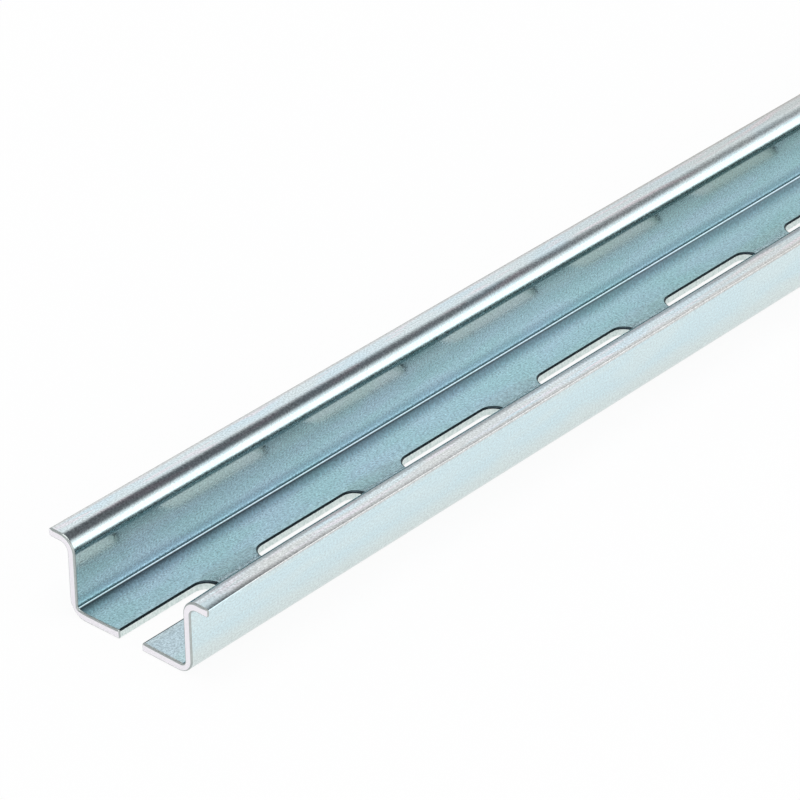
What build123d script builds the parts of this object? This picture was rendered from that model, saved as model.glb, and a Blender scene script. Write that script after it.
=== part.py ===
from build123d import *
import math
import os

# Slotted top-hat mounting rail, bent from one strip of zinc-plated steel.
# Lengths are millimetres. X runs along the rail, Y across it and Z up.
# The origin is under the middle of the rail, on the plane that its base rests on.

rail_length = 1000.0
rail_width = 35.0
rail_height = 15.0
# How far each flange overhangs its wall, for clips to hook under.
flange_overhang = 4.0
sheet_thickness = 1.5

# The inside radius of all four bends, on the hollow side of the sheet.
bend_radius = 1.6
# The rounding of the strip's slit edges, along the tips of the flanges.
slit_edge_radius = 0.3

slot_length = 25.0
slot_width = 5.2
slot_pitch = 36.0
# The bar is cut from a longer run, so its first slot is centred this close to the sawn end.
first_slot_centre = 7.5


def rail_section():
    """The sheet's section, looking along X: drawn along its upper face and thickened downwards."""
    flange_tip = rail_width / 2
    wall_inside = flange_tip - flange_overhang - sheet_thickness
    upper_face = [
        (-flange_tip, rail_height),
        (-wall_inside, rail_height),
        (-wall_inside, sheet_thickness),
        (wall_inside, sheet_thickness),
        (wall_inside, rail_height),
        (flange_tip, rail_height),
    ]
    rounded_top = bend_radius + sheet_thickness
    bends = [rounded_top, bend_radius, bend_radius, rounded_top]
    with BuildSketch(Plane.YZ) as section:
        with BuildLine():
            FilletPolyline(*upper_face, radius=bends)
            offset(amount=sheet_thickness, side=Side.RIGHT)
        make_face()
        corners = section.vertices().group_by(Axis.X)
        fillet(corners[0] + corners[-1], radius=slit_edge_radius)
    return section.sketch


def slot_centres():
    """Distances of the slot centres from the middle of the rail, at one pitch along its whole length."""
    first_slot_start = first_slot_centre - slot_length / 2
    count = math.floor((rail_length - first_slot_start) / slot_pitch) + 1
    first = first_slot_centre - rail_length / 2
    return [first + number * slot_pitch for number in range(count)]


def mounting_rail():
    """The bent strip with its row of slots, the first one open at the sawn end."""
    with BuildPart() as rail:
        extrude(rail_section(), amount=rail_length / 2, both=True)
        with BuildSketch(Plane.XY):
            with Locations([(centre, 0) for centre in slot_centres()]):
                SlotOverall(slot_length, slot_width)
        extrude(amount=sheet_thickness, mode=Mode.SUBTRACT)
    return rail.part


os.makedirs("parts", exist_ok=True)
export_step(mounting_rail(), "parts/rail.step")
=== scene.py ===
import math

import bpy
from mathutils import Matrix, Vector


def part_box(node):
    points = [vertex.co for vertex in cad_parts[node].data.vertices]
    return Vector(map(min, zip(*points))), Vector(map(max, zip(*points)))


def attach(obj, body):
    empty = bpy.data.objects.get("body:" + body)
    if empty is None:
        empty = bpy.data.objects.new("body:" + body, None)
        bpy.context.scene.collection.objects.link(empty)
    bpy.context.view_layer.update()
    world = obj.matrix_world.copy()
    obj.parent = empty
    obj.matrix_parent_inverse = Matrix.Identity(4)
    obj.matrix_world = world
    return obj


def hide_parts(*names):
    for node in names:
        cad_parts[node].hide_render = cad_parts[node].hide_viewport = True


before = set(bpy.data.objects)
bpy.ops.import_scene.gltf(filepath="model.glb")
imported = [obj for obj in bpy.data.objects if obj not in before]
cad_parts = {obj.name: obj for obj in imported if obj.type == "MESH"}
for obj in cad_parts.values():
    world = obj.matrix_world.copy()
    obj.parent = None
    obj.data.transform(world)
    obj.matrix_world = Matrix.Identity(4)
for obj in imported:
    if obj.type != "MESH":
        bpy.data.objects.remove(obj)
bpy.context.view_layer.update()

# A slotted top-hat mounting rail of zinc-plated steel, on a white studio floor.
# Lengths are metres, in the frame of the solid: X along the rail, Y across it and Z up.

MM = 0.001

lowest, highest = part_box("rail")
RAIL_START = lowest.x
RAIL_END = highest.x
FLANGE_TIP = highest.y
RAIL_HEIGHT = highest.z
SHEET = 1.5 * MM
WALL_INSIDE = 13.5 * MM - SHEET
FLANGE_BEND = 1.6 * MM

# Rows of arcs that follow on from a level face, each a radius and the slope in degrees at which it
# ends: the inside of the base's two bends, where the tool left a tight fold on the +Y side, and the
# fall of the flanges' upper faces to their tips, which is greater on the -Y side.
FOLDED_BEND = ((10 * MM, 10), (0.6 * MM, 26), (0.35 * MM, 40), (0.8 * MM, 57), (0.2 * MM, 90))
PLAIN_BEND = ((0.9 * MM, 90),)
SLIT_EDGE = ((0.08 * MM, 42), (0.3 * MM, 70), (0.15 * MM, 90))
FALL_ON_FOLDED_SIDE = ((7 * MM, 4), *SLIT_EDGE)
FALL_ON_PLAIN_SIDE = ((7 * MM, 9), *SLIT_EDGE)
FOLDED_BEND_OUTSIDE = 3.3 * MM
PLAIN_BEND_OUTSIDE = 2.9 * MM

SLOT_LENGTH = 25.0 * MM
SLOT_WIDTH = 5.2 * MM
SLOT_PITCH = 36.0 * MM
SLOT_COUNT = 28
FIRST_SLOT_CENTRE = RAIL_START + 7.5 * MM

# How the edges are broken. The punch and the shear draw the sheet's upper side down at the slots
# and at the ends, and its lower side less. A flange's tip is rounded underneath.
TIP_ROUNDING = 0.50 * MM
SLOT_DRAWN_WIDTH = 0.36 * MM
SLOT_DRAWN_DEPTH = 0.28 * MM
SLOT_FOOT_ROUNDING = 0.10 * MM
# The slots' drawn edge is longer at their two ends, by these shares of its width.
LONGER_AT_LOW_END = 0.3
LONGER_AT_HIGH_END = 0.6
END_DRAWN_LENGTH = 0.35 * MM
END_DRAWN_DEPTH = 0.30 * MM
END_FOOT_ROUNDING = 0.06 * MM
END_DRAWN_BELOW = 0.6

# The shear also pressed the -Y flange down at the near end, by this much at its tip and by a share
# of it over the wall, which gives way between two shares of the rail's height.
PRESSED_DOWN = 0.68 * MM
PRESSED_LENGTH = 12 * MM
PRESSED_OVER_WALL = 0.70
WALL_GIVES_FROM = 0.55
WALL_GIVES_TO = 0.90

# The punched middle of the base stands proud by this much, and falls away within this half width.
CROWN = 0.16 * MM
CROWN_HALF = 8.6 * MM

# The flat strip down the middle of the base that is meshed round the slots.
SLOT_STRIP_HALF = 5.0 * MM
STATIONS_PER_PITCH = 3
STATIONS_AT_NEAR_END = 16
BEND_STEPS = 16
ROUNDING_STEPS = 5
SLOT_END_STEPS = 24
WELD = 1e-7

PLATED, DRAWN, RIM, PUNCHED, SHEARED = range(5)


def share_of_way(value, start, end):
    """How far a value has come from one number to another, 0 to 1."""
    return min(max((value - start) / (end - start), 0), 1)


def pressed(x, y, z):
    """How far the shear pressed a point of the -Y flange down."""
    if y >= 0:
        return 0.0
    along = math.exp(-(max(x - RAIL_START, 0) / PRESSED_LENGTH) ** 1.3)
    across = PRESSED_OVER_WALL + (1 - PRESSED_OVER_WALL) * (-y - WALL_INSIDE) / (FLANGE_TIP - WALL_INSIDE)
    rise = share_of_way(z / RAIL_HEIGHT, WALL_GIVES_FROM, WALL_GIVES_TO)
    return -PRESSED_DOWN * along * across * rise * rise * (3 - 2 * rise)


def crowned(y):
    """How far a point this far across the base stands proud of a flat one."""
    return CROWN * (1 - share_of_way(abs(y), SLOT_WIDTH / 2, CROWN_HALF)) ** 2


def bent(x, y, z):
    """How far a point of the sheet lies above its place in a true section."""
    return pressed(x, y, z) + crowned(y)


def press(point, normal):
    """Moves a point as the tools did, and turns its normal with the surface."""
    x, y, z = point
    small = 0.01 * MM
    moved = bent(x, y, z)
    slope = Vector((
        (bent(x + small, y, z) - moved) / small,
        (bent(x, y + small, z) - moved) / small,
        (bent(x, y, z + small) - moved) / small,
    ))
    turned = Vector(normal) - slope * (normal[2] / (1 + slope.z))
    return Vector((x, y, z + moved)), turned.normalized()


class Skin:
    """A closed surface with an exact normal at each vertex. Points that coincide become one vertex."""

    def __init__(self):
        self.points = []
        self.normals = []
        self.faces = []
        self.finishes = []
        self.known = {}

    def vertex(self, point, normal):
        key = tuple(round(value / WELD) for value in point)
        if key not in self.known:
            self.known[key] = len(self.points)
            moved, turned = press(point, normal)
            self.points.append(moved)
            self.normals.append(turned)
        return self.known[key]

    def face(self, corners, finish):
        """Adds a face with its front on the side that its corners' normals point to."""
        found = []
        for point, normal in corners:
            index = self.vertex(point, normal)
            if index not in found:
                found.append(index)
        if len(found) < 3:
            return
        across = Vector()
        outward = Vector()
        origin = self.points[found[0]]
        for this, following in zip(found, found[1:] + found[:1]):
            across += (self.points[this] - origin).cross(self.points[following] - origin)
            outward += self.normals[this]
        if across.dot(outward) < 0:
            found.reverse()
        self.faces.append(found)
        self.finishes.append(finish)

    def strip(self, row, next_row, finish, closed=False):
        """Joins two rows of as many corners by a band of four-sided faces."""
        count = len(row)
        for this in range(count if closed else count - 1):
            following = (this + 1) % count
            self.face([row[this], row[following], next_row[following], next_row[this]], finish)

    def build(self, name, materials):
        mesh = bpy.data.meshes.new(name)
        mesh.from_pydata(self.points, [], self.faces)
        for material in materials:
            mesh.materials.append(material)
        mesh.polygons.foreach_set("material_index", self.finishes)
        mesh.shade_smooth()
        mesh.normals_split_custom_set_from_vertices(self.normals)
        piece = bpy.data.objects.new(name, mesh)
        bpy.context.scene.collection.objects.link(piece)
        return piece


# A corner of a section is (y, z), its normal there, and how much a cut end draws it down, 0 to 1.

def arc(centre, radius, start, end, steps, facing=1, drawn=(1, 1)):
    """Corners along an arc across the rail, by angles from Y towards Z."""
    corners = []
    for step in range(steps + 1):
        share = step / steps
        angle = math.radians(start + (end - start) * share)
        away = (math.cos(angle), math.sin(angle))
        point = (centre[0] + radius * away[0], centre[1] + radius * away[1])
        pull = drawn[0] + (drawn[1] - drawn[0]) * share
        corners.append((point, (facing * away[0], facing * away[1]), pull))
    return corners


def chain(parts, from_z, to_y, facing, drawn=1):
    """Arcs that follow on from a level face at one height until they reach a place across the rail.
    How much a cut end draws them down falls over the first arc, from 1 to the share given."""
    corners = []
    y, z, slope, pull = 0, from_z, 0, 1
    for radius, end in parts:
        first, last = facing * (90 - slope), facing * (90 - end)
        turned = math.radians(first)
        centre = (y - radius * math.cos(turned), z - radius * math.sin(turned))
        steps = BEND_STEPS // len(parts) + 1
        corners += arc(centre, radius, first, last, steps, facing, drawn=(pull, drawn))
        y, z = corners[-1][0]
        slope, pull = end, drawn
    shift = to_y - y
    return [((corner_y + shift, corner_z), normal, pull) for (corner_y, corner_z), normal, pull in corners]


def half_section(inside, foot_radius, fall):
    """The section's +Y half beyond the slot strip, from the base's upper face round to its underside."""
    foot_centre = (WALL_INSIDE + SHEET - foot_radius, foot_radius)
    flange_outer = FLANGE_BEND + SHEET
    flange_centre = (WALL_INSIDE + flange_outer, RAIL_HEIGHT - flange_outer)
    tip_foot = (FLANGE_TIP - TIP_ROUNDING, RAIL_HEIGHT - SHEET + TIP_ROUNDING)
    return [
        ((SLOT_STRIP_HALF, SHEET), (0, 1), 1),
        *chain(inside, SHEET, WALL_INSIDE, facing=-1),
        *arc(flange_centre, flange_outer, 180, 90, BEND_STEPS),
        *chain(fall, RAIL_HEIGHT, FLANGE_TIP, facing=1, drawn=0),
        *arc(tip_foot, TIP_ROUNDING, 0, -90, ROUNDING_STEPS, drawn=(0, END_DRAWN_BELOW)),
        *arc(flange_centre, FLANGE_BEND, 90, 180, BEND_STEPS, facing=-1, drawn=(END_DRAWN_BELOW,) * 2),
        *arc(foot_centre, foot_radius, 0, -90, BEND_STEPS, drawn=(END_DRAWN_BELOW,) * 2),
        ((SLOT_STRIP_HALF, 0), (0, -1), END_DRAWN_BELOW),
    ]


def slot_levels():
    """The slot's wall from the top down: how far it stands back, its height, the normal's two parts
    and how much a cut end draws it down."""
    levels = []
    for step in range(ROUNDING_STEPS + 1):
        share = step / ROUNDING_STEPS
        angle = math.radians(90 * share)
        back = SLOT_DRAWN_WIDTH * (1 - math.sin(angle))
        height = SHEET - SLOT_DRAWN_DEPTH * (1 - math.cos(angle))
        across, up = math.sin(angle) / SLOT_DRAWN_WIDTH, math.cos(angle) / SLOT_DRAWN_DEPTH
        size = math.hypot(across, up)
        levels.append((back, height, across / size, up / size, 1 - 0.7 * share))
    for step in range(ROUNDING_STEPS + 1):
        share = step / ROUNDING_STEPS
        angle = math.radians(90 * share)
        back = SLOT_FOOT_ROUNDING * (1 - math.cos(angle))
        height = SLOT_FOOT_ROUNDING * (1 - math.sin(angle))
        levels.append((back, height, math.cos(angle), -math.sin(angle), 0))
    return levels


def slot_wall_section():
    """The section of the slot's +Y wall, from the underside to the top."""
    wall = []
    for back, height, across, up, drawn in reversed(slot_levels()):
        wall.append(((SLOT_WIDTH / 2 + back, height), (-across, up), drawn))
    return wall


def mirrored(section):
    return [((-y, z), (-ny, nz), drawn) for (y, z), (ny, nz), drawn in section]


def placed(section, x):
    """A section's points and normals, stood at one place along the rail."""
    return [((x, y, z), (0, ny, nz)) for (y, z), (ny, nz), drawn in section]


def slot_ring(centre, level):
    """One slot's outline at a level of its wall, anticlockwise from the middle of its +X end, where
    the punch drew the sheet over farther."""
    back, height, across, up, drawn = level
    reach = (SLOT_LENGTH - SLOT_WIDTH) / 2
    radius = SLOT_WIDTH / 2 + back
    low_end = centre - reach + LONGER_AT_LOW_END * back
    high_end = centre + reach + LONGER_AT_HIGH_END * back
    ring = []
    for start, middle in ((0, high_end), (90, low_end), (270, high_end)):
        steps = SLOT_END_STEPS if start == 90 else SLOT_END_STEPS // 2
        for step in range(steps + 1):
            angle = math.radians(start + 180 / SLOT_END_STEPS * step)
            away = (math.cos(angle), math.sin(angle))
            point = (middle + radius * away[0], radius * away[1], height)
            ring.append((point, (-across * away[0], -across * away[1], up)))
    return ring


def add_slot(skin, centre, opened_at=None):
    """Adds a slot's wall. A slot that the rail's end cuts open stops at that place along the rail."""
    rings = []
    quarter = SLOT_END_STEPS // 2
    for level in slot_levels():
        ring = slot_ring(centre, level)
        if opened_at is not None:
            back, height, across, up, drawn = level
            edge = SLOT_WIDTH / 2 + back
            head = ((opened_at, -edge, height), (0, across, up))
            tail = ((opened_at, edge, height), (0, -across, up))
            ring = [head, *ring[-quarter - 1:-1], *ring[:quarter + 1], tail]
        rings.append(ring)
    for number, (ring, following) in enumerate(zip(rings, rings[1:])):
        skin.strip(ring, following, RIM if number < ROUNDING_STEPS else PUNCHED, closed=opened_at is None)
    return rings[0], rings[-1]


def add_slot_strip(skin, ring, stations, height, up, opened):
    """Fills the base's flat face round one slot, in two halves that meet in line with the slot."""
    start, end = stations[0], stations[-1]
    for side in (1, -1):
        near = [corner for corner in ring if corner[0][1] * side > -WELD]
        near.sort(key=lambda corner: corner[0][0])
        outer = [((x, side * SLOT_STRIP_HALF, height), up) for x in reversed(stations)]
        tip = [((end, 0, height), up)]
        head = [] if opened else [((start, 0, height), up)]
        skin.face([*head, *near, *tip, *outer], PLATED)


def add_end(skin, loop, x, inward):
    """Draws a section's edges over to a sheared end and closes it."""
    rows = [placed(loop, x + inward * END_DRAWN_LENGTH)]
    for step in range(ROUNDING_STEPS + 1):
        angle = math.radians(90 * step / ROUNDING_STEPS)
        row = []
        for (y, z), (ny, nz), drawn in loop:
            depth = END_FOOT_ROUNDING + (END_DRAWN_DEPTH - END_FOOT_ROUNDING) * drawn
            length = END_FOOT_ROUNDING + (END_DRAWN_LENGTH - END_FOOT_ROUNDING) * drawn
            back = depth * (1 - math.cos(angle))
            point = (x + inward * length * (1 - math.sin(angle)), y - back * ny, z - back * nz)
            outward = math.cos(angle) / depth
            row.append((point, (-inward * math.sin(angle) / length, ny * outward, nz * outward)))
        rows.append(row)
    for row, following in zip(rows, rows[1:]):
        skin.strip(row, following, DRAWN, closed=True)
    skin.face(rows[-1], SHEARED)


def build_rail(materials):
    """The whole rail: two bent sides, a slotted strip between them, one end cut through a slot."""
    skin = Skin()
    right = half_section(FOLDED_BEND, FOLDED_BEND_OUTSIDE, FALL_ON_FOLDED_SIDE)
    left = mirrored(half_section(PLAIN_BEND, PLAIN_BEND_OUTSIDE, FALL_ON_PLAIN_SIDE))
    body_start = RAIL_START + END_DRAWN_LENGTH
    body_end = RAIL_END - END_DRAWN_LENGTH

    for number in range(SLOT_COUNT):
        centre = FIRST_SLOT_CENTRE + number * SLOT_PITCH
        first, last = number == 0, number == SLOT_COUNT - 1
        start = body_start if first else centre - SLOT_PITCH / 2
        end = body_end if last else centre + SLOT_PITCH / 2
        steps = STATIONS_AT_NEAR_END if number < 2 else STATIONS_PER_PITCH
        stations = [start + (end - start) * step / steps for step in range(steps + 1)]
        for here, there in zip(stations, stations[1:]):
            for side in (right, left):
                skin.strip(placed(side, here), placed(side, there), PLATED)
        top, foot = add_slot(skin, centre, opened_at=start if first else None)
        add_slot_strip(skin, top, stations, SHEET, (0, 0, 1), first)
        add_slot_strip(skin, foot, stations, 0, (0, 0, -1), first)

    add_end(skin, [*right, *slot_wall_section()], RAIL_START, 1)
    add_end(skin, [*left, *mirrored(slot_wall_section())], RAIL_START, 1)
    middle = [((0, SHEET), (0, 1), 1)]
    underside = [((0, 0), (0, -1), 0)]
    add_end(skin, [*right, *underside, *reversed(left), *middle], RAIL_END, -1)
    return skin.build("rail_skin", materials)


class Tree:
    """A node tree, with the few kinds of node that the scene is made of."""

    def __init__(self, owner):
        owner.use_nodes = True
        self.nodes = owner.node_tree.nodes
        self.links = owner.node_tree.links

    def feed(self, socket, value):
        """Links a socket to another, or sets it to a number or a colour."""
        if isinstance(value, bpy.types.NodeSocket):
            self.links.new(value, socket)
        elif isinstance(value, tuple):
            socket.default_value = (*value, 1)
        else:
            socket.default_value = value

    def math(self, operation, *values):
        node = self.nodes.new("ShaderNodeMath")
        node.operation = operation
        for socket, value in zip(node.inputs, values):
            self.feed(socket, value)
        return node.outputs["Value"]

    def times(self, first, second):
        return self.math("MULTIPLY", first, second)

    def ramp(self, value, start, end, low=0.0, high=1.0, interpolation="SMOOTHSTEP"):
        """A step of a value, from one number to another."""
        node = self.nodes.new("ShaderNodeMapRange")
        node.interpolation_type = interpolation
        for socket, number in zip(node.inputs, (value, start, end, low, high)):
            self.feed(socket, number)
        return node.outputs["Result"]

    def mix(self, factor, first, second, blend="MIX"):
        node = self.nodes.new("ShaderNodeMix")
        node.data_type = "RGBA"
        node.blend_type = blend
        colours = [socket for socket in node.inputs if socket.type == "RGBA"]
        for socket, value in zip((node.inputs[0], *colours), (factor, first, second)):
            self.feed(socket, value)
        return [socket for socket in node.outputs if socket.type == "RGBA"][0]

    def tinted(self, factor, colour, tint):
        """A colour multiplied by a tint, by this share."""
        return self.mix(factor, colour, tint, blend="MULTIPLY")

    def either(self, factor, first, second):
        """A mix of two shaders."""
        node = self.nodes.new("ShaderNodeMixShader")
        for socket, value in zip(node.inputs, (factor, first, second)):
            self.links.new(value, socket)
        return node.outputs["Shader"]


class Metal(Tree):
    """One metal finish: a node material with its texture space on the rail itself."""

    def __init__(self, name):
        self.material = bpy.data.materials.new(name)
        super().__init__(self.material)
        self.shader = self.nodes["Principled BSDF"]
        self.shader.inputs["Metallic"].default_value = 1.0
        self.place = self.nodes.new("ShaderNodeTexCoord").outputs["Object"]
        split = self.nodes.new("ShaderNodeSeparateXYZ")
        self.links.new(self.place, split.inputs["Vector"])
        self.x, self.y, self.z = split.outputs

    def give(self, name, value):
        self.feed(self.shader.inputs[name], value)

    def noise(self, sizes, seed, detail=2.0, roughness=0.5):
        """Noise whose spots are this long, wide and high, in metres."""
        stretch = self.nodes.new("ShaderNodeVectorMath")
        stretch.operation = "MULTIPLY"
        self.links.new(self.place, stretch.inputs[0])
        stretch.inputs[1].default_value = [1 / size for size in sizes]
        node = self.nodes.new("ShaderNodeTexNoise")
        node.noise_dimensions = "4D"
        self.links.new(stretch.outputs["Vector"], node.inputs["Vector"])
        node.inputs["W"].default_value = seed
        node.inputs["Scale"].default_value = 1.0
        node.inputs["Detail"].default_value = detail
        node.inputs["Roughness"].default_value = roughness
        return node.outputs["Fac"]

    def scaled(self, colour, factor):
        node = self.nodes.new("ShaderNodeVectorMath")
        node.operation = "SCALE"
        self.links.new(colour, node.inputs[0])
        self.links.new(factor, node.inputs["Scale"])
        return node.outputs["Vector"]

    def bump(self, height, distance, strength=1.0, onto=None):
        node = self.nodes.new("ShaderNodeBump")
        node.inputs["Distance"].default_value = distance
        self.feed(node.inputs["Strength"], strength)
        self.links.new(height, node.inputs["Height"])
        if onto is not None:
            self.links.new(onto, node.inputs["Normal"])
        return node.outputs["Normal"]


def outside_colour(zinc, tint, farther_on, on_top):
    """The colour of the flanges and the outer walls. The flanges have pale lilac streaks and grey
    edges, and the -Y one beige patches too. The walls turn from blue to straw at the foot, a
    painted reflection of warmer floor there."""
    streaks = zinc.noise((14 * MM, 1.0 * MM, 1.0 * MM), seed=8.0, detail=2.0)
    patches = zinc.noise((45 * MM, 3 * MM, 3 * MM), seed=11.0, detail=1.0)
    from_middle = zinc.math("ABSOLUTE", zinc.y)

    beige = zinc.times(zinc.ramp(patches, 0.50, 0.62), zinc.ramp(zinc.y, -1 * MM, 1 * MM, 0.6, 0.1))
    at_tip = zinc.ramp(from_middle, 16.5 * MM, 17.2 * MM)
    flange = zinc.mix(tint, (0.615, 0.740, 0.795), (0.660, 0.745, 0.765))
    flange = zinc.mix(beige, flange, (0.665, 0.655, 0.630))
    flange = zinc.mix(zinc.ramp(streaks, 0.51, 0.65), flange, (0.735, 0.725, 0.765))
    flange = zinc.mix(at_tip, flange, (0.635, 0.650, 0.645))
    flange = zinc.tinted(farther_on, flange, (0.90, 0.87, 0.84))

    # Painted reflection: the walls are straw at the foot, as warmer floor would show in them there.
    floor_reflection_at_foot = zinc.ramp(zinc.z, 2.5 * MM, 6.0 * MM, 0.8, 0.0)
    wall = zinc.mix(tint, (0.660, 0.805, 0.845), (0.690, 0.810, 0.830))
    wall = zinc.mix(floor_reflection_at_foot, wall, (0.750, 0.820, 0.805))
    return zinc.mix(on_top, wall, flange)


def channel_colour(zinc, tint, farther_on):
    """The colour inside the channel: a deeper blue, paler by the slots and greener on the walls, with
    painted shade higher up the walls, in the fold and above it.
    """
    from_middle = zinc.math("ABSOLUTE", zinc.y)
    by_slots = zinc.ramp(from_middle, 3.0 * MM, 4.6 * MM, 0.5, 0.0)
    by_fold = zinc.ramp(zinc.y, 9.2 * MM, 10.6 * MM)
    near_half = zinc.ramp(zinc.y, -3.2 * MM, -2.6 * MM, 1.0, 0.0)
    low_on_wall = zinc.ramp(zinc.z, 2.8 * MM, 4.5 * MM)
    # Painted shade: the walls darken towards the flanges, and turn a little greener.
    shade_high_on_wall = zinc.ramp(zinc.z, 4.5 * MM, 10.5 * MM)
    wall_farther_on = zinc.times(farther_on, zinc.ramp(zinc.z, 2.0 * MM, 3.0 * MM))
    colour = zinc.mix(tint, (0.530, 0.665, 0.708), (0.560, 0.665, 0.735))
    colour = zinc.mix(by_slots, colour, (0.610, 0.690, 0.715))
    colour = zinc.tinted(by_fold, colour, (0.94, 1, 1))
    colour = zinc.tinted(near_half, colour, (0.85, 0.905, 0.895))
    colour = zinc.tinted(low_on_wall, colour, (0.97, 0.95, 0.92))
    colour = zinc.tinted(shade_high_on_wall, colour, (0.80, 0.82, 0.80))
    colour = zinc.tinted(wall_farther_on, colour, (0.80, 0.84, 0.81))

    # Painted shade: the fold is darkened as a crease in shadow, and the foot of the wall above it is
    # darkened too.
    crease_shade = zinc.times(zinc.ramp(zinc.y, WALL_INSIDE - 0.75 * MM, WALL_INSIDE - 0.55 * MM, 0.0, 0.8),
                        zinc.ramp(zinc.z, 1.73 * MM, 1.77 * MM, 1.0, 0.0))
    shade_above_fold = zinc.times(zinc.ramp(zinc.z, 2.4 * MM, 2.9 * MM),
                            zinc.ramp(zinc.z, 3.0 * MM, 5.0 * MM, 1.0, 0.0))
    shade_above_fold = zinc.times(shade_above_fold, zinc.ramp(zinc.y, 10 * MM, 11 * MM))
    return zinc.tinted(zinc.math("MAXIMUM", crease_shade, shade_above_fold), colour, (0.62, 0.64, 0.65))


def plated_zinc():
    """Bright zinc under a clear blue passivation, with clouded tints and fine lines along the strip."""
    zinc = Metal("plated_zinc")
    clouds = zinc.noise((14 * MM, 4 * MM, 4 * MM), seed=1.0, detail=1.0)
    lines = zinc.noise((120 * MM, 0.3 * MM, 0.3 * MM), seed=2.0, detail=3.0)
    grain = zinc.noise((0.42 * MM, 0.30 * MM, 0.30 * MM), seed=3.0, detail=1.0, roughness=0.6)
    tint = zinc.ramp(clouds, 0.38, 0.62)

    # Where things are: in the channel, on top of the flanges, along the fold, under the flanges'
    # bends, and farther along the bar, where the zinc is a little greyer.
    from_middle = zinc.math("ABSOLUTE", zinc.y)
    within_walls = zinc.ramp(from_middle, WALL_INSIDE + 0.1 * MM, WALL_INSIDE + 0.4 * MM, 1.0, 0.0)
    in_channel = zinc.times(within_walls, zinc.ramp(zinc.z, 0.2 * MM, SHEET * 0.9))
    on_top = zinc.ramp(zinc.z, 14.2 * MM, 14.7 * MM)
    along_fold = zinc.times(zinc.ramp(zinc.y, 9.2 * MM, 10.4 * MM),
                            zinc.ramp(zinc.z, 1.94 * MM, 2.00 * MM, 1.0, 0.0))
    under_bends = zinc.times(zinc.ramp(zinc.z, 11.6 * MM, 12.4 * MM),
                             zinc.ramp(zinc.z, 13.1 * MM, 13.6 * MM, 1.0, 0.0))
    farther_on = zinc.ramp(zinc.x, RAIL_START + 90 * MM, RAIL_START + 190 * MM)

    # The grain shows most inside the channel, least on the outer walls, and less along the fold.
    outside = outside_colour(zinc, tint, farther_on, on_top)
    colour = zinc.mix(in_channel, outside, channel_colour(zinc, tint, farther_on))
    on_flat = zinc.math("MULTIPLY_ADD", in_channel, 0.9, zinc.math("MULTIPLY_ADD", on_top, 0.5, 0.5))
    contrast = zinc.times(on_flat, zinc.math("MULTIPLY_ADD", along_fold, -0.6, 1.0))
    speckle = zinc.math("MULTIPLY_ADD", zinc.math("SUBTRACT", grain, 0.51), contrast, 1.0)
    zinc.give("Base Color", zinc.scaled(colour, speckle))

    # Satin, duller under the flanges' bends but burnished along the fold.
    satin = zinc.ramp(zinc.times(zinc.math("ADD", lines, grain), 0.5), 0.3, 0.7, 0.07, 0.15)
    duller = zinc.math("MULTIPLY_ADD", zinc.times(under_bends, in_channel), 0.14, satin)
    zinc.give("Roughness", zinc.times(duller, zinc.math("MULTIPLY_ADD", along_fold, -0.6, 1.0)))
    pits = zinc.bump(grain, 0.010 * MM, strength=zinc.math("MULTIPLY_ADD", along_fold, -0.7, 1.0))
    zinc.give("Normal", zinc.bump(lines, 0.0015 * MM, onto=pits))
    return zinc.material


def drawn_edge():
    """The edge that the shear drew over at the ends: plated, but dull."""
    edge = Metal("drawn_edge")
    grain = edge.noise((0.4 * MM, 0.4 * MM, 0.4 * MM), seed=7.0, detail=3.0)
    edge.give("Base Color", edge.mix(grain, (0.36, 0.40, 0.39), (0.56, 0.60, 0.59)))
    edge.give("Roughness", 0.38)
    edge.give("Normal", edge.bump(grain, 0.02 * MM))
    return edge.material


def drawn_rim():
    """The slot's upper edge, drawn over by the punch, with painted shade along it in a near-black colour.
    """
    rim = Metal("drawn_rim")
    stain = rim.noise((0.8 * MM, 0.8 * MM, 0.8 * MM), seed=6.0)
    # Painted shade: the near-black colour stands in for the shade along the rim.
    rim.give("Base Color", rim.mix(stain, (0.012, 0.018, 0.022), (0.04, 0.06, 0.07)))
    rim.give("Roughness", 0.30)
    rim.give("Normal", rim.bump(stain, 0.01 * MM))
    return rim.material


def punched_wall():
    """The slot's wall: sheared bright steel with a speckled grain."""
    wall = Metal("punched_wall")
    tears = wall.noise((0.45 * MM, 0.45 * MM, 0.7 * MM), seed=4.0, detail=2.0)
    speckle = wall.ramp(tears, 0.30, 0.70)
    wall.give("Base Color", wall.mix(speckle, (0.67, 0.77, 0.75), (0.88, 0.95, 0.93)))
    wall.give("Roughness", 0.45)
    wall.give("Normal", wall.bump(tears, 0.02 * MM))
    return wall.material


def sheared_end():
    """The sheared end: bright steel with a fine, even grain."""
    end = Metal("sheared_end")
    grain = end.noise((0.3 * MM, 0.3 * MM, 0.3 * MM), seed=5.0, detail=3.0)
    end.give("Base Color", end.mix(grain, (0.88, 0.85, 0.90), (0.99, 0.97, 1.00)))
    end.give("Roughness", 0.5)
    end.give("Normal", end.bump(grain, 0.01 * MM))
    return end.material


FLOOR_HALF = 6.0
FLOOR_GAP = 0.02 * MM
FLOOR_GLOW_SEEN = 0.92
FLOOR_GLOW_MIRRORED = 0.63


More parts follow.
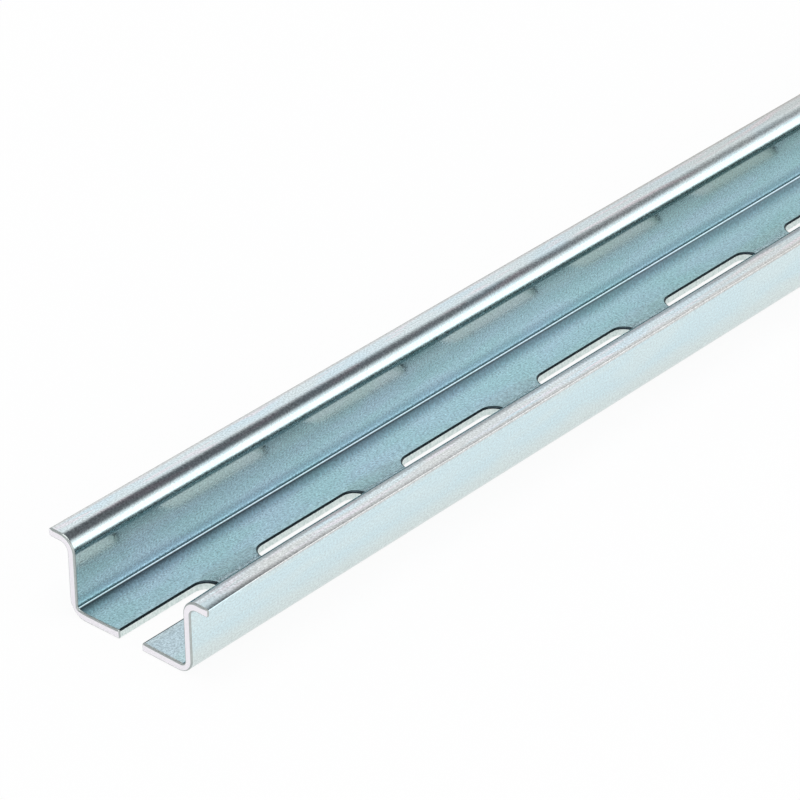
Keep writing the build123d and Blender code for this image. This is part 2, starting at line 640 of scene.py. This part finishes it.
def floor_white():
    """White paint that also glows, to the camera and in the metal. From below it is clear."""
    material = bpy.data.materials.new("white_floor")
    white = Tree(material)
    white.nodes.clear()
    paint = white.nodes.new("ShaderNodeBsdfDiffuse")
    white.feed(paint.inputs["Color"], (0.9, 0.9, 0.9))
    glow = white.nodes.new("ShaderNodeEmission")
    clear = white.nodes.new("ShaderNodeBsdfTransparent")
    rays = white.nodes.new("ShaderNodeLightPath").outputs
    from_below = white.nodes.new("ShaderNodeNewGeometry").outputs["Backfacing"]
    mirrored_share = white.times(rays["Is Glossy Ray"], FLOOR_GLOW_MIRRORED)
    share = white.math("MULTIPLY_ADD", rays["Is Camera Ray"], FLOOR_GLOW_SEEN, mirrored_share)
    surface = white.either(share, paint.outputs["BSDF"], glow.outputs["Emission"])
    surface = white.either(from_below, surface, clear.outputs["BSDF"])
    output = white.nodes.new("ShaderNodeOutputMaterial")
    white.links.new(surface, output.inputs["Surface"])
    return material


def add_floor():
    """A white floor that keeps the rail's shadow faintly, and that a view from below looks through."""
    mesh = bpy.data.meshes.new("floor")
    signs = ((-1, -1), (1, -1), (1, 1), (-1, 1))
    mesh.from_pydata([(x * FLOOR_HALF, y * FLOOR_HALF, -FLOOR_GAP) for x, y in signs], [], [(0, 1, 2, 3)])
    mesh.materials.append(floor_white())
    floor = bpy.data.objects.new("floor", mesh)
    bpy.context.scene.collection.objects.link(floor)


# The studio's brightness by height above the horizon, in degrees, on its two long sides: a bright
# bank along -Y and a dimmer wall along +Y, then a dark gap all round, and a bright ceiling.
BRIGHT_SIDE = ((-90, 1.0), (-5, 1.0), (3, 1.5), (26, 1.5), (30, 1.40), (34, 1.03), (38, 0.90),
               (44, 0.38), (48, 0.16), (62, 0.11), (70, 3.0), (90, 3.0))
DIM_SIDE = ((-90, 0.9), (-3, 0.5), (10, 0.5), (20, 0.62), (30, 1.06), (37, 1.02), (42, 0.75),
            (46, 0.45), (49, 0.21), (51, 0.13), (62, 0.11), (70, 3.0), (90, 3.0))
# One side runs into the other where a direction's Y part is less than this, either way.
SIDES_BLEND = 0.25


def brightness_by_height(studio, share, stops):
    """A colour ramp over heights from straight down to straight up, a little bluer than grey."""
    ramp = studio.nodes.new("ShaderNodeValToRGB")
    elements = ramp.color_ramp.elements
    while len(elements) < len(stops):
        elements.new(0.5)
    for element, (height, brightness) in zip(elements, stops):
        element.position = (height + 90) / 180
        element.color = (brightness, brightness + 0.004, brightness + 0.016, 1)
    studio.links.new(share, ramp.inputs["Fac"])
    return ramp.outputs["Color"]


def light_studio():
    """Lights the rail from all round, and shows the camera plain white behind it."""
    bpy.context.scene.world = bpy.data.worlds.new("studio")
    studio = Tree(bpy.context.scene.world)
    studio.nodes.clear()
    towards = studio.nodes.new("ShaderNodeTexCoord").outputs["Generated"]
    direction = studio.nodes.new("ShaderNodeSeparateXYZ")
    studio.links.new(towards, direction.inputs["Vector"])
    height = studio.math("ARCSINE", direction.outputs["Z"])
    share = studio.ramp(height, -math.pi / 2, math.pi / 2, interpolation="LINEAR")
    side = studio.ramp(direction.outputs["Y"], -SIDES_BLEND, SIDES_BLEND)
    bright = brightness_by_height(studio, share, BRIGHT_SIDE)
    dim = brightness_by_height(studio, share, DIM_SIDE)
    seen = studio.nodes.new("ShaderNodeLightPath").outputs["Is Camera Ray"]
    background = studio.mix(seen, studio.mix(side, bright, dim), (1, 1, 1))
    shader = studio.nodes.new("ShaderNodeBackground")
    output = studio.nodes.new("ShaderNodeOutputWorld")
    studio.links.new(background, shader.inputs["Color"])
    studio.links.new(shader.outputs["Background"], output.inputs["Surface"])


CAMERA_PLACE = Vector((-0.89293, -0.40796, 0.38579))
CAMERA_AZIMUTH = math.radians(-48.320)
CAMERA_ELEVATION = math.radians(31.094)
CAMERA_ROLL = math.radians(-0.646)
CAMERA_LENS = 192.49


def add_camera():
    """The photograph's camera. Azimuth 0 looks along +Y, and the elevation is above the horizon."""
    level = math.cos(CAMERA_ELEVATION)
    back = Vector((
        math.sin(CAMERA_AZIMUTH) * level,
        -math.cos(CAMERA_AZIMUTH) * level,
        math.sin(CAMERA_ELEVATION),
    ))
    right = (-back).cross(Vector((0, 0, 1))).normalized()
    up = back.cross(right)
    turned_right = math.cos(CAMERA_ROLL) * right + math.sin(CAMERA_ROLL) * up
    turned_up = math.cos(CAMERA_ROLL) * up - math.sin(CAMERA_ROLL) * right
    data = bpy.data.cameras.new("camera")
    data.sensor_width = 36.0
    data.lens = CAMERA_LENS
    data.clip_start = 0.05
    data.clip_end = 50.0
    camera = bpy.data.objects.new("camera", data)
    turn = Matrix((turned_right, turned_up, back)).transposed().to_4x4()
    camera.matrix_world = Matrix.Translation(CAMERA_PLACE) @ turn
    bpy.context.scene.collection.objects.link(camera)
    bpy.context.scene.camera = camera


bpy.context.scene.view_settings.view_transform = "Standard"
add_camera()
light_studio()
add_floor()

rail = build_rail([plated_zinc(), drawn_edge(), drawn_rim(), punched_wall(), sheared_end()])
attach(rail, "root")
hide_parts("rail")
